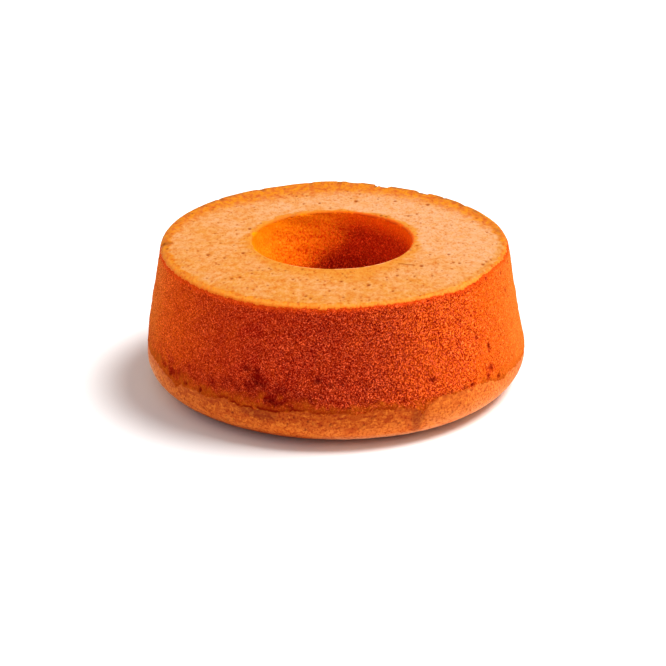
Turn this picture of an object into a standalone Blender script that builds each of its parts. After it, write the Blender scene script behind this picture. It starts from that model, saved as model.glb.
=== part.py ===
# A chiffon cake, baked in a ring tin with a conical tube and turned out upside down. Its side and its
# bore are torn crumb, where it clung to the tin. Its top is smooth skin from the tin's floor, and the
# bulging band round its foot is the smooth skin of the batter that rose above the tin.
#
# Units are metres and +Z is up. The origin is the middle of the face that the cake stands on.
# Angles are in degrees, anticlockwise from +X as seen from above, so the front is at -90.

import math

import bmesh
import bpy
from mathutils import Matrix, Vector, noise

# Driving dimensions
CAKE_HEIGHT = 0.0869
SHOULDER_RADIUS = 0.1074  # the side's line, at the top
SHOULDER_ROUNDING = 0.0046
WALL_FOOT_RADIUS = 0.1172  # where the straight side ends and the bulge begins
WALL_FOOT_HEIGHT = 0.0252
BULGE_RADIUS = 0.118  # the widest part
BULGE_HEIGHT = 0.0171
REST_RADIUS = 0.0909  # the outer edge of the flat that the cake stands on
FOOT_POWER = 2.16  # of the superellipse from the bulge down to that flat: 2 is round, more is squarer
BORE_TOP_RADIUS = 0.0489
BORE_FOOT_RADIUS = 0.037
BORE_LIP_ROUNDING = 0.0022
BORE_FOOT_ROUNDING = 0.005

# The seam, where the skin of the band laps over the torn crumb of the side
SEAM_HEIGHT = 0.0237
SEAM_RISE = 0.0022  # the seam climbs by this much on one side of the cake, and sinks on the other
SEAM_HIGH_ANGLE = -66
SEAM_RIPPLES = ((5, 0.0006), (13, 0.0005))  # waves round the cake and their height
SKIN_STEP = 0.0008  # how far the skin stands out from the crumb above it
SKIN_EDGE = 0.0008  # the height over which it does
SKIN_FADE = 0.008  # the height over which the step dies away, above the seam and below it

# Unevenness
SLOUCH = 0.0003  # slow waves over the whole cake
SLOUCH_SCALE = 0.05
CRUMB_RELIEF = 0.0005  # the torn crumb's crags
CRUMB_SCALE = 0.007
BULGE_LEAN = 0.0009  # the bulge is fuller by this much on one side, and leaner on the other
BULGE_FULL_ANGLE = 0
RIM_LIFT = 0.0017  # at the back, the rim of the top curls up
RIM_LIFT_ANGLE = 91
RIM_LIFT_SPREAD = 13
RIM_LIFT_REACH = 0.011

# Tears in the torn crumb: angle, height, width, height of the tear and depth
TEARS = (
    (-113.5, 0.0415, 0.0040, 0.0062, 0.0016),
    (-108.5, 0.0298, 0.0052, 0.0036, 0.0016),
    (-94.5, 0.0428, 0.0046, 0.0040, 0.0012),
    (-60, 0.0373, 0.0034, 0.0034, 0.0012),
    (-42, 0.0537, 0.0030, 0.0030, 0.0011),
    (-37, 0.0441, 0.0028, 0.0050, 0.0013),
    (-36.5, 0.0306, 0.0050, 0.0050, 0.0014),
    (-21, 0.0673, 0.0030, 0.0048, 0.0011),
    (-152, 0.0335, 0.0036, 0.0056, 0.0013),
    (24, 0.0345, 0.0050, 0.0044, 0.0015),
    (66, 0.0420, 0.0038, 0.0056, 0.0014),
    (109, 0.0310, 0.0056, 0.0036, 0.0016),
    (147, 0.0530, 0.0036, 0.0044, 0.0013),
)
# Chips out of the shoulder, where crumb stayed in the tin: angle, length and depth
CHIPS = (
    (71.5, 0.0090, 0.0012),
    (56, 0.0110, 0.0012),
    (37, 0.0076, 0.0008),
    (118, 0.0060, 0.0008),
    (-33.5, 0.0056, 0.0008),
    (-176, 0.0060, 0.0008),
)

# Shares of crumb and skin where one gives way to the other
LOW_SHOULDER_CRUMB = 0.6
HIGH_SHOULDER_CRUMB = 0.2
BORE_FOOT_CRUMB = 0.5

# How finely the shape is drawn
AROUND = 132
WALL_ROWS = 11
SEAM_ROWS = 2
FOOT_ROWS = 8
SHOULDER_ROWS = 4
BORE_ROWS = 5
TOP_ROWS = 4
CUTTER_FACETS = 8


def evenly(start, end, count):
    """count steps from start to end, without start itself."""
    return [start + (end - start) * step / count for step in range(1, count + 1)]


def side_radius(height):
    """The side's radius at a height between the flat that the cake stands on and the shoulder."""
    if height >= WALL_FOOT_HEIGHT:
        shoulder_height = CAKE_HEIGHT - SHOULDER_ROUNDING
        climb = (height - WALL_FOOT_HEIGHT) / (shoulder_height - WALL_FOOT_HEIGHT)
        return WALL_FOOT_RADIUS + (SHOULDER_RADIUS - WALL_FOOT_RADIUS) * climb
    if height >= BULGE_HEIGHT:
        drop = (WALL_FOOT_HEIGHT - height) / (WALL_FOOT_HEIGHT - BULGE_HEIGHT)
        return WALL_FOOT_RADIUS + (BULGE_RADIUS - WALL_FOOT_RADIUS) * math.sin(drop * math.pi / 2)
    share = (1 - (1 - height / BULGE_HEIGHT) ** FOOT_POWER) ** (1 / FOOT_POWER)
    return REST_RADIUS + (BULGE_RADIUS - REST_RADIUS) * share


def rounded(centre_radius, centre_height, size, start_degrees, end_degrees, count, crumb):
    """Points on an arc in the profile's plane, from just after its start to its end."""
    points = []
    for degrees in evenly(start_degrees, end_degrees, count):
        angle = math.radians(degrees)
        points.append((centre_radius + size * math.cos(angle), centre_height + size * math.sin(angle), crumb))
    return points


def outer_side():
    """The profile from the foot of the shoulder's rounding down to the flat that the cake stands on."""
    shoulder_height = CAKE_HEIGHT - SHOULDER_ROUNDING
    seam_top = SEAM_HEIGHT + SKIN_EDGE / 2
    seam_bottom = SEAM_HEIGHT - SKIN_EDGE / 2
    fade_top = SEAM_HEIGHT + SKIN_FADE
    points = [(SHOULDER_RADIUS, shoulder_height, LOW_SHOULDER_CRUMB)]
    points += [(side_radius(height), height, 1) for height in evenly(shoulder_height, fade_top, WALL_ROWS)]
    for height in evenly(fade_top, seam_top, SEAM_ROWS):
        sunk = SKIN_STEP / 2 * (fade_top - height) / (fade_top - seam_top)
        points.append((side_radius(height) - sunk, height, 1))
    points.append((side_radius(seam_bottom) + SKIN_STEP / 2, seam_bottom, 0))
    points.append((side_radius(BULGE_HEIGHT), BULGE_HEIGHT, 0))
    for step in evenly(0, 1, FOOT_ROWS):
        height = max(0, BULGE_HEIGHT * (1 - math.sin(step * math.pi / 2) ** (2 / FOOT_POWER)))
        points.append((side_radius(height), height, 0))
    return points


def bore():
    """The profile from the underside up the bore's leaning wall, round its lip and onto the top."""
    foot_centre = BORE_FOOT_RADIUS + BORE_FOOT_ROUNDING
    points = [(foot_centre, 0, 0)]
    points += rounded(foot_centre, BORE_FOOT_ROUNDING, BORE_FOOT_ROUNDING, 270, 180, 2, BORE_FOOT_CRUMB)
    lip_centre = BORE_TOP_RADIUS + BORE_LIP_ROUNDING
    lip_height = CAKE_HEIGHT - BORE_LIP_ROUNDING
    for step in evenly(0, 1, BORE_ROWS):
        radius = BORE_FOOT_RADIUS + (BORE_TOP_RADIUS - BORE_FOOT_RADIUS) * step
        height = BORE_FOOT_ROUNDING + (lip_height - BORE_FOOT_ROUNDING) * step
        points.append((radius, height, 1))
    return points + rounded(lip_centre, lip_height, BORE_LIP_ROUNDING, 180, 90, 2, 0)


def top_and_shoulder():
    """The profile from the bore's lip out over the top, and round the shoulder nearly to its foot."""
    lip_centre = BORE_TOP_RADIUS + BORE_LIP_ROUNDING
    edge_centre = SHOULDER_RADIUS - SHOULDER_ROUNDING
    centre_height = CAKE_HEIGHT - SHOULDER_ROUNDING
    points = [(radius, CAKE_HEIGHT, 0) for radius in evenly(lip_centre, edge_centre, TOP_ROWS)]
    size = SHOULDER_ROUNDING
    shoulder = rounded(edge_centre, centre_height, size, 90, 0, SHOULDER_ROWS, HIGH_SHOULDER_CRUMB)
    return points + shoulder[:-1]


def turned_ring(name, material):
    """The even cake: its half section swept round the Z axis by a Screw.

    Each point of the section is (radius, height, crumb). crumb is 1 on torn crumb and 0 on skin, and
    goes along as the weights of a vertex group.
    """
    points = outer_side() + bore() + top_and_shoulder()
    outline = bpy.data.meshes.new(name + " profile")
    corners = [(radius, 0, height) for radius, height, _ in points]
    edges = [(index, (index + 1) % len(points)) for index in range(len(points))]
    outline.from_pydata(corners, edges, [])
    turned = bpy.data.objects.new(name + " profile", outline)
    bpy.context.scene.collection.objects.link(turned)
    crumb = turned.vertex_groups.new(name="crumb")
    for index, (_, _, weight) in enumerate(points):
        crumb.add([index], weight, "REPLACE")
    screw = turned.modifiers.new("sweep", "SCREW")
    screw.axis = "Z"
    screw.steps = screw.render_steps = AROUND
    screw.use_merge_vertices = True
    screw.merge_threshold = 0.00001

    graph = bpy.context.evaluated_depsgraph_get()
    swept = turned.evaluated_get(graph)
    mesh = bpy.data.meshes.new_from_object(swept, preserve_all_data_layers=True, depsgraph=graph)
    bpy.data.objects.remove(turned)
    mesh.name = name
    mesh.materials.append(material)
    return mesh


def seam_shift(angle):
    """How far the seam lies above or below its mean height at an angle in radians."""
    shift = SEAM_RISE * math.cos(angle - math.radians(SEAM_HIGH_ANGLE))
    return shift + sum(height * math.sin(waves * angle) for waves, height in SEAM_RIPPLES)


def bell(distance, reach):
    """1 at no distance, dying away smoothly: about a third is left at reach."""
    return math.exp(-((distance / reach) ** 2))


def rim_lift(degrees, to_shoulder):
    """How far the rim of the top curls up."""
    off_angle = (degrees - RIM_LIFT_ANGLE + 180) % 360 - 180
    return RIM_LIFT * bell(off_angle, RIM_LIFT_SPREAD) * bell(to_shoulder, RIM_LIFT_REACH)


def roughen(mesh):
    """Gives the even ring the real one's waves, crags and wandering seam, its lean and its raised rim."""
    shape = bmesh.new()
    shape.from_mesh(mesh)
    weights = shape.verts.layers.deform.verify()
    shape.normal_update()
    moved = {}
    for vertex in shape.verts:
        point = vertex.co.copy()
        angle = math.atan2(point.y, point.x)
        radius = math.hypot(point.x, point.y)
        off_floor = min(1, point.z / BULGE_HEIGHT)
        crumb = vertex[weights].get(0, 0)

        out = SLOUCH * off_floor * noise.noise(point / SLOUCH_SCALE)
        out += CRUMB_RELIEF * crumb * noise.noise(point / CRUMB_SCALE)
        to_bulge = math.hypot(radius - BULGE_RADIUS, point.z - BULGE_HEIGHT)
        full_side = math.cos(angle - math.radians(BULGE_FULL_ANGLE))
        out += BULGE_LEAN * full_side * off_floor * bell(to_bulge, BULGE_HEIGHT)

        to_shoulder = math.hypot(radius - SHOULDER_RADIUS, point.z - CAKE_HEIGHT)
        lift = rim_lift(math.degrees(angle), to_shoulder)
        if radius > REST_RADIUS:
            lift += seam_shift(angle) * off_floor * bell(point.z - SEAM_HEIGHT, SKIN_FADE)
        moved[vertex] = point + vertex.normal * out + Vector((0, 0, lift))
    for vertex, point in moved.items():
        vertex.co = point
    bmesh.ops.triangulate(shape, faces=shape.faces)
    shape.to_mesh(mesh)
    shape.free()


def cutter(name, collection, degrees, radius, height, half_sizes):
    """A squashed ball that the Boolean cuts out, at an angle round the cake."""
    ball = bmesh.new()
    facets = CUTTER_FACETS
    bmesh.ops.create_uvsphere(ball, u_segments=facets, v_segments=facets // 2 + 1, radius=1)
    ball.transform(Matrix.Diagonal(half_sizes).to_4x4())
    ball.transform(Matrix.Translation((radius, 0, height)))
    ball.transform(Matrix.Rotation(math.radians(degrees), 4, "Z"))
    mesh = bpy.data.meshes.new(name)
    ball.to_mesh(mesh)
    ball.free()
    solid = bpy.data.objects.new(name, mesh)
    solid.hide_render = True
    solid.display_type = "WIRE"
    collection.objects.link(solid)


def make_cutters(collection):
    """The hollows of the tears, in the side, and of the chips, where the side meets the top."""
    for number, (degrees, height, width, tall, depth) in enumerate(TEARS, start=1):
        half_sizes = (2 * depth, width / 2, tall / 2)
        reach = side_radius(height) + depth
        cutter(f"tear {number}", collection, degrees, reach, height, half_sizes)
    for number, (degrees, length, depth) in enumerate(CHIPS, start=1):
        half_sizes = (3 * depth, length / 2, 3 * depth)
        off_shoulder = SHOULDER_ROUNDING * (1 - math.sqrt(0.5)) - 2 * depth * math.sqrt(0.5)
        centre = SHOULDER_RADIUS - off_shoulder
        cutter(f"chip {number}", collection, degrees, centre, CAKE_HEIGHT - off_shoulder, half_sizes)


def sponge():
    """The cake's one material: baked orange sponge."""
    material = bpy.data.materials.new("orange sponge")
    material.use_nodes = True
    surface = material.node_tree.nodes["Principled BSDF"]
    surface.inputs["Base Color"].default_value = (0.72, 0.20, 0.03, 1)
    surface.inputs["Roughness"].default_value = 0.75
    surface.inputs["Metallic"].default_value = 0
    return material


def new_collection(name):
    collection = bpy.data.collections.new(name)
    bpy.context.scene.collection.children.link(collection)
    return collection


def main():
    for thing in list(bpy.data.objects):
        bpy.data.objects.remove(thing)
    parts = new_collection("chiffon cake")
    cutters = new_collection("cutters")

    mesh = turned_ring("chiffon_cake", sponge())
    roughen(mesh)
    mesh.shade_smooth()
    mesh.set_sharp_from_angle(angle=math.radians(40))
    cake = bpy.data.objects.new("chiffon_cake", mesh)
    parts.objects.link(cake)

    make_cutters(cutters)
    hollows = cake.modifiers.new("tears and chips", "BOOLEAN")
    hollows.operation = "DIFFERENCE"
    hollows.operand_type = "COLLECTION"
    hollows.collection = cutters


main()
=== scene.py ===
# The looks of a chiffon cake that was baked in a ring tin and stands upside down, as it was turned out.
# Units are metres. Angles are degrees anticlockwise from +X as seen from above, so the front is at -90.
# The sponge is one body. Its surface is drawn as what it is made of: crumb that tore from the tin, the
# smooth crust from the tin's floor, the crust of the batter that rose past the tin, and the bore's crumb.
# A dictionary that goes by angle holds the value at each, and the value runs straight between them.

import math

import bpy
import numpy as np
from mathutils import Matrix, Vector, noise


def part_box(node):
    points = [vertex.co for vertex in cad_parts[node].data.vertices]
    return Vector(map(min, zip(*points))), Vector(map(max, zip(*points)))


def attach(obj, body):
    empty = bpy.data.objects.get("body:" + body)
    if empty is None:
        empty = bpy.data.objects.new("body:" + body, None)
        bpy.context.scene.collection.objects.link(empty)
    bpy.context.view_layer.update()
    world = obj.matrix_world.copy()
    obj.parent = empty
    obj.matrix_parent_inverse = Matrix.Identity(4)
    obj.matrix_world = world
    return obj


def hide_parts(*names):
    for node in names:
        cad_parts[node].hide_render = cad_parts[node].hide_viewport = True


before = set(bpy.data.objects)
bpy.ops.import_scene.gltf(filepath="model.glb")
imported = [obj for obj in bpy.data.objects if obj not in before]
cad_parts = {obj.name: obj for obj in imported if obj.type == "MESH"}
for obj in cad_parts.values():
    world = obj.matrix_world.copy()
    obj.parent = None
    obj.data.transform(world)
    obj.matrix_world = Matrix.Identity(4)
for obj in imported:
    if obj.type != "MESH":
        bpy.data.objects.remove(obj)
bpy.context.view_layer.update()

mm = 0.001
scene = bpy.context.scene
noise.seed_set(3)  # or else noise_vector starts from the clock, and each run differs

# The even half section, as the solid has it
section = {
    "height": 86.9 * mm,
    "shoulderRadius": 107.4 * mm,
    "shoulderRounding": 4.6 * mm,
    "wallFootRadius": 117.2 * mm,  # the straight side ends here and the bulge begins
    "wallFootHeight": 25.2 * mm,
    "bulgeRadius": 118 * mm,
    "bulgeHeight": 17.1 * mm,
    "restRadius": 90.9 * mm,
    "footPower": 2.16,  # of the superellipse from the bulge down to the flat underside
    "boreTopRadius": 48.9 * mm,
    "boreFootRadius": 37 * mm,
    "lipRounding": 2.2 * mm,
    "boreFootRounding": 5 * mm,
    "step": 0.15 * mm,  # between the points that the section is drawn with
}

# The slow unevenness of the solid, which every piece shares
unevenness = {
    "slouch": 0.3 * mm,
    "slouchSize": 50 * mm,
    "crumbRelief": 0.5 * mm,
    "crumbSize": 7 * mm,
    "lean": 0.9 * mm,  # the bulge is fuller on the right
    "rimLift": 1.6 * mm,  # the rim of the top curls up at the back
    "rimLiftAngle": 91,
    "rimLiftSpread": 13,
    "rimLiftReach": 11 * mm,
    "rimSag": 0.9 * mm,  # and has settled at the front left
    "rimSagAngle": -135,
    "rimSagSpread": 40,
    "rimSagReach": 10 * mm,
    "footFill": 1.1 * mm,  # the foot is fuller under the bulge at the front right
    "footFillAngle": -56,
    "footFillSpread": 30,
    "footFillHeight": 7 * mm,
    "footFillReach": 5 * mm,
    "boreShift": -1.4 * mm,  # the mouth of the bore lies left of the middle
    "boreShiftReach": 16 * mm,
    "insideBore": 60 * mm,  # a radius that only the bore lies within
}

# The seams between the crumb and the two crusts, which the pieces on both sides of them follow
seams = {
    # the height in mm at which the crust of the foot laps over the torn crumb
    "lower": {
        -165: 23.4, -157: 23.8, -150: 22.6, -146.5: 22, -144: 18.8, -141.5: 21.6, -135: 23.8, -129: 22.4,
        -123: 25, -118: 22.2, -114: 22.9, -108: 22.2, -102.5: 24.5, -98: 25.6, -95: 23.6, -88: 24.7,
        -83.5: 23.5, -79: 25.1, -71.5: 24.6, -67: 23.2, -64: 21.2, -61.5: 24.8, -59: 26.6, -52: 26.7,
        -43: 26.4, -39: 25, -36.5: 23.2, -31: 21, -28: 22.5, -17: 20.6, -7.5: 19.4, 8: 20.2, 22: 22.4,
        35: 23.4, 50: 22, 62: 20.4, 75: 22.6, 90: 21.6, 102: 19.6, 115: 22, 130: 22.8, 142: 20.8,
        155: 22.8, 172: 22,
    },
    # how far round the shoulder the top crust reaches, from 90 at its top to 0 at the straight side
    "upper": {
        -176: 16, -160: 26, -148: 30, -125: 27, -110: 27, -95: 36, -84: 37, -75: 46, -65: 42, -55: 37,
        -46: 30, -38: 46, -33: 57, -21: 54, -10: 48, 5: 38, 30: 40, 55: 26, 80: 20, 105: 30, 140: 24,
        165: 18,
    },
    # how raggedly they tore: how much, in mm or degrees, size in mm, and where the noise starts
    "lowerTears": ((0.9, 4.2, 5), (1, 1.7, 9)),
    "upperTears": ((9, 5.5, 3), (9, 2.3, 7), (12, 1.2, 5)),
    # rows of a crust's torn edge: how far in from it, and how far below the surface, in crust thicknesses
    "edgeCurl": ((0, 2.6), (0.1, 1.4), (0.5, 0.66), (1.3, 0.2), (2.6, 0)),
}


def bell(distance, reach):
    return np.exp(-((distance / reach) ** 2))


def ease(low, high, value):  # 0 below low, 1 above high, smooth between
    share = np.clip((value - low) / (high - low), 0, 1)
    return share * share * (3 - 2 * share)


def fade(low, high, value):  # 1 below low, 0 above high, smooth between
    return 1 - ease(low, high, value)


def turnFrom(centre, degrees):
    return (degrees - centre + 180) % 360 - 180


def roundTheRing(marks, degrees):
    return np.interp(degrees, list(marks), list(marks.values()), period=360)


def marksAt(piece, degrees):  # every value of a piece that goes by angle, under its name
    return {name: roundTheRing(marks, degrees) for name, marks in piece.items() if isinstance(marks, dict)}


def noiseAt(points, size, shift=0.0):
    spots = (points.reshape(-1, 3) / size + shift).tolist()
    return np.array([noise.noise(spot) for spot in spots]).reshape(points.shape[:-1])


def swayAt(points, size):  # noise that pushes a pattern about, so that it isn't even
    spots = (points.reshape(-1, 3) / size).tolist()
    return np.array([tuple(noise.noise_vector(spot)) for spot in spots]).reshape(points.shape)


def cellsAt(points, size):  # bubbles: how far a point is from its wall and its middle, and its luck
    spots = (points.reshape(-1, 3) / size).tolist()
    found = [noise.voronoi(spot) for spot in spots]
    near = np.array([reach[0] for reach, _ in found])
    wall = np.array([reach[1] - reach[0] for reach, _ in found])
    middles = np.round(np.array([tuple(centres[0]) for _, centres in found]), 2)
    luck = np.abs(np.sin(middles @ np.array((12.9898, 78.233, 37.719))) * 4375.85) % 1  # even from 0 to 1
    shape = points.shape[:-1]
    return wall.reshape(shape), near.reshape(shape), luck.reshape(shape)


def evenRing(columns):  # the angles of a closed ring's columns, as one row
    return (np.arange(columns) * 360 / columns - 180)[None]


def shares(count):  # evenly from 0 to 1, as a column
    return np.linspace(0, 1, count)[:, None]


def onCircle(degrees, radius):
    angle = np.radians(degrees)
    return np.stack((np.cos(angle), np.sin(angle), 0 * angle), -1) * radius


def radiusOf(points):
    return np.hypot(points[..., 0], points[..., 1])


def sideRadius(height):
    s = section
    shoulderFoot = s["height"] - s["shoulderRounding"]
    climb = (height - s["wallFootHeight"]) / (shoulderFoot - s["wallFootHeight"])
    wall = s["wallFootRadius"] + (s["shoulderRadius"] - s["wallFootRadius"]) * climb
    drop = (s["wallFootHeight"] - height) / (s["wallFootHeight"] - s["bulgeHeight"])
    swell = s["wallFootRadius"] + (s["bulgeRadius"] - s["wallFootRadius"]) * np.sin(drop * np.pi / 2)
    low = np.clip(height / s["bulgeHeight"], 0, 1)
    share = (1 - (1 - low) ** s["footPower"]) ** (1 / s["footPower"])
    foot = s["restRadius"] + (s["bulgeRadius"] - s["restRadius"]) * share
    radius = np.where(height >= s["wallFootHeight"], wall, swell)
    return np.where(height < s["bulgeHeight"], foot, radius)


def arc(centreRadius, centreHeight, size, start, end):
    count = max(3, int(abs(math.radians(end - start)) * size / section["step"]))
    turn = np.radians(np.linspace(start, end, count))
    return np.column_stack((centreRadius + size * np.cos(turn), centreHeight + size * np.sin(turn)))


def line(start, end):
    count = max(2, int(math.dist(start, end) / section["step"]))
    return np.linspace(start, end, count)


class HalfOutline:  # one path: out along the underside, up the side, over the top and down the bore
    def __init__(self):
        s = section
        footInner = s["boreFootRadius"] + s["boreFootRounding"]
        shoulderFoot = s["height"] - s["shoulderRounding"]
        lipCentre = s["boreTopRadius"] + s["lipRounding"]
        lipHeight = s["height"] - s["lipRounding"]
        edgeCentre = s["shoulderRadius"] - s["shoulderRounding"]
        turn = np.linspace(0, np.pi / 2, 400)
        footHeights = s["bulgeHeight"] * (1 - np.cos(turn) ** (2 / s["footPower"]))
        heights = np.concatenate((footHeights, np.linspace(s["bulgeHeight"], shoulderFoot, 600)))
        runs = {
            "start": line((footInner, 0), (s["restRadius"], 0)),
            "rest": np.column_stack((sideRadius(heights), heights)),
            "shoulder": arc(edgeCentre, shoulderFoot, s["shoulderRounding"], 0, 90),
            "top": line((edgeCentre, s["height"]), (lipCentre, s["height"])),
            "lip": arc(lipCentre, lipHeight, s["lipRounding"], 90, 180),
            "bore": line((s["boreTopRadius"], lipHeight), (s["boreFootRadius"], s["boreFootRounding"])),
            "boreFoot": arc(footInner, s["boreFootRounding"], s["boreFootRounding"], 180, 270),
        }
        path = np.concatenate(list(runs.values()))
        steps = np.hypot(*np.diff(path, axis=0).T)
        along = np.r_[0, np.cumsum(steps)]
        starts = np.r_[0, np.cumsum([len(run) for run in runs.values()])[:-1]]
        self.at = {name: along[first] for name, first in zip(runs, starts)}
        self.at["end"] = along[-1]
        apart = np.r_[True, steps > 1e-7]  # two runs share the point where they meet
        self.path, self.along = path[apart], along[apart]
        heading = np.gradient(self.path, self.along, axis=0)
        normal = np.column_stack((heading[:, 1], -heading[:, 0]))
        self.normal = normal / np.linalg.norm(normal, axis=1, keepdims=True)
        onSide = (self.along >= self.at["rest"]) & (self.along <= self.at["shoulder"])
        self.sideHeights, self.sideAlong = self.path[onSide, 1], self.along[onSide]

    def sideAt(self, height):  # how far along the path the side has this height
        return np.interp(height, self.sideHeights, self.sideAlong)

    def shoulderAt(self, turn):
        return self.at["shoulder"] + section["shoulderRounding"] * np.radians(turn)

    def ring(self, along, degrees):  # points and normals round the cake, one row for each row of along
        angle = np.radians(degrees)
        radius = np.interp(along, self.along, self.path[:, 0])
        height = np.interp(along, self.along, self.path[:, 1])
        out = np.interp(along, self.along, self.normal[:, 0])
        up = np.interp(along, self.along, self.normal[:, 1])
        cos, sin = np.cos(angle) + 0 * along, np.sin(angle) + 0 * along
        points = np.stack((radius * cos, radius * sin, height), -1)
        normals = np.stack((out * cos, out * sin, up), -1)
        return points, normals


outline = HalfOutline()
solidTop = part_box("chiffon_cake")[1].z


def settled(points, normals, degrees, crumb=0.0):  # moves a ring as the solid's slow unevenness does
    u = unevenness
    radius, height = radiusOf(points), points[..., 2]
    offFloor = np.clip(height / section["bulgeHeight"], 0, 1)
    out = u["slouch"] * offFloor * noiseAt(points, u["slouchSize"])
    if np.any(crumb):
        out = out + u["crumbRelief"] * crumb * noiseAt(points, u["crumbSize"])
    toBulge = np.hypot(radius - section["bulgeRadius"], height - section["bulgeHeight"])
    out = out + u["lean"] * np.cos(np.radians(degrees)) * offFloor * bell(toBulge, section["bulgeHeight"])
    fuller = bell(turnFrom(u["footFillAngle"], degrees), u["footFillSpread"]) * (radius > u["insideBore"])
    fuller = fuller * bell(height - u["footFillHeight"], u["footFillReach"])
    out = out + u["footFill"] * fuller * offFloor ** 0.5
    toShoulder = np.hypot(radius - section["shoulderRadius"], height - section["height"])
    lift, sag = (u[name] * bell(turnFrom(u[name + "Angle"], degrees), u[name + "Spread"])
                 * bell(toShoulder, u[name + "Reach"]) for name in ("rimLift", "rimSag"))
    moved = points + normals * out[..., None]
    moved[..., 2] += np.minimum(lift, solidTop - section["height"]) - sag
    nearBore = fade(0, u["boreShiftReach"], radius - section["boreTopRadius"])
    moved[..., 0] += u["boreShift"] * nearBore * ease(section["boreFootRounding"], section["height"], height)
    return moved


def raggedNoise(tears, points):
    return sum(much * noiseAt(points, size * mm, shift) for much, size, shift in tears)


def seamHeight(degrees):
    ragged = raggedNoise(seams["lowerTears"], onCircle(degrees, section["bulgeRadius"]))
    return (roundTheRing(seams["lower"], degrees) + ragged) * mm


def crustEdge(degrees):
    ragged = raggedNoise(seams["upperTears"], onCircle(degrees, section["shoulderRadius"]))
    return outline.shoulderAt(np.clip(roundTheRing(seams["upper"], degrees) + ragged, 4, 84))


def ringPiece(name, points, closed, strips, marks):
    # rows of points become a skin of quads; marks are the values that its material reads
    rows, columns = points.shape[:2]
    across = columns if closed else columns - 1
    row, column = np.meshgrid(np.arange(rows - 1), np.arange(across), indexing="ij")
    nextColumn = (column + 1) % columns
    corners = ((row, column), (row, nextColumn), (row + 1, nextColumn), (row + 1, column))
    faces = np.stack([r * columns + c for r, c in corners], -1).reshape(-1, 4)
    mesh = bpy.data.meshes.new(name)
    mesh.from_pydata(points.reshape(-1, 3).tolist(), [], faces.tolist())

    # the ring is cut into strips that lie above each other on the map, with a margin between them
    runs = np.linalg.norm(np.diff(points, axis=0), axis=-1).mean(1)
    rise = np.r_[0, np.cumsum(runs)] / runs.sum()
    perStrip = math.ceil(across / strips)
    strip, inside = column // perStrip, column % perStrip
    margin = 0.006
    uv = []
    for stepAcross, stepUp in ((0, 0), (1, 0), (1, 1), (0, 1)):
        u = margin + (1 - 2 * margin) * (inside + stepAcross) / perStrip
        v = (strip + margin * strips + (1 - 2 * margin * strips) * rise[row + stepUp]) / strips
        uv.append(np.stack((u, v), -1))
    mesh.uv_layers.new(name="OFBake").data.foreach_set("uv", np.stack(uv, 2).ravel())
    for mark, values in marks.items():
        attribute = mesh.attributes.new(mark, "FLOAT", "POINT")
        values = np.broadcast_to(values, (rows, columns)).astype(np.float32)
        attribute.data.foreach_set("value", values.ravel())
    mesh.shade_smooth()
    piece = bpy.data.objects.new(name, mesh)
    scene.collection.objects.link(piece)
    return piece


def dress(piece, material):
    piece.data.materials.append(material)
    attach(piece, "root")
    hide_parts("chiffon_cake")


def hexColour(text):  # sRGB hex to linear
    channels = [int(text[place:place + 2], 16) / 255 for place in (1, 3, 5)]
    return tuple(c / 12.92 if c <= 0.04045 else ((c + 0.055) / 1.055) ** 2.4 for c in channels) + (1.0,)


class Finish(dict):  # a material as it is built, and the values that it is mixed by, each under its name
    def __init__(self, name, shine):
        self.material = bpy.data.materials.new(name)
        self.material.use_nodes = True
        self.tree = self.material.node_tree
        self.surface = self.tree.nodes["Principled BSDF"]
        self.surface.inputs["Specular IOR Level"].default_value = shine
        self["spot"] = self.add("TexCoord", "Object")

    def __missing__(self, name):  # what nothing has made yet is a colour or a mark of the piece
        isColour = name[0] == "#"
        self[name] = hexColour(name) if isColour else self.add("Attribute", "Fac", {"attribute_name": name})
        return self[name]

    def add(self, kind, output, settings=None, **inputs):
        # an input is named by its socket, or i and its number; it takes a constant, a socket, or one
        # of these values by its name
        node = self.tree.nodes.new("ShaderNode" + kind)
        for setting, value in (settings or {}).items():
            setattr(node, setting, value)
        for name, value in inputs.items():
            key = int(name[1:]) if name[0] == "i" and name[1:].isdigit() else name.replace("_", " ")
            value = self[value] if isinstance(value, str) else value
            if isinstance(value, bpy.types.NodeSocket):
                self.tree.links.new(value, node.inputs[key])
            else:
                node.inputs[key].default_value = value
        return node.outputs[output]

    def pattern(self, noises, ranges, products=(), **grain):
        # a noise: where it lies, its features' size in mm, and its detail; a range: a share that grows
        # between two values of another, up to its most; a product: a value, and what it is held to
        for name, place, size, detail in noises:
            self[name] = self.add("TexNoise", "Fac", Vector=place, Scale=1 / (size * mm), Detail=detail,
                                  **grain)
        for name, source, low, high, most in ranges:
            self[name] = self.add("MapRange", "Result", Value=source, From_Min=low, From_Max=high,
                                  To_Max=most)
        for name, other in products:
            self[name] = self.add("Math", 0, {"operation": "MULTIPLY", "use_clamp": True}, i0=name, i1=other)

    def lay(self, base, layers, relief, roughness, bump, tints=()):
        # a tint: its name, its share, and the two colours that it lies between; a layer: its share, its
        # colour or tint, and how it blends with what lies below it
        self["colour"] = self[base]
        steps = [(*tint, "MIX") for tint in tints]
        steps += [("colour", share, "colour", tint, *(blend or ["MIX"])) for share, tint, *blend in layers]
        for name, share, below, above, blend in steps:
            mixing = {"data_type": "RGBA", "blend_type": blend}
            self[name] = self.add("Mix", 2, mixing, i0=share, i6=below, i7=above)
        rough = self.add("MapRange", "Result", Value=relief, To_Min=roughness[0], To_Max=roughness[1])
        normal = self.add("Bump", "Normal", Strength=bump[0], Distance=bump[1], Height=relief)
        for socket, output in (("Base Color", self["colour"]), ("Roughness", rough), ("Normal", normal)):
            self.tree.links.new(output, self.surface.inputs[socket])
        return self.material


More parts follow.
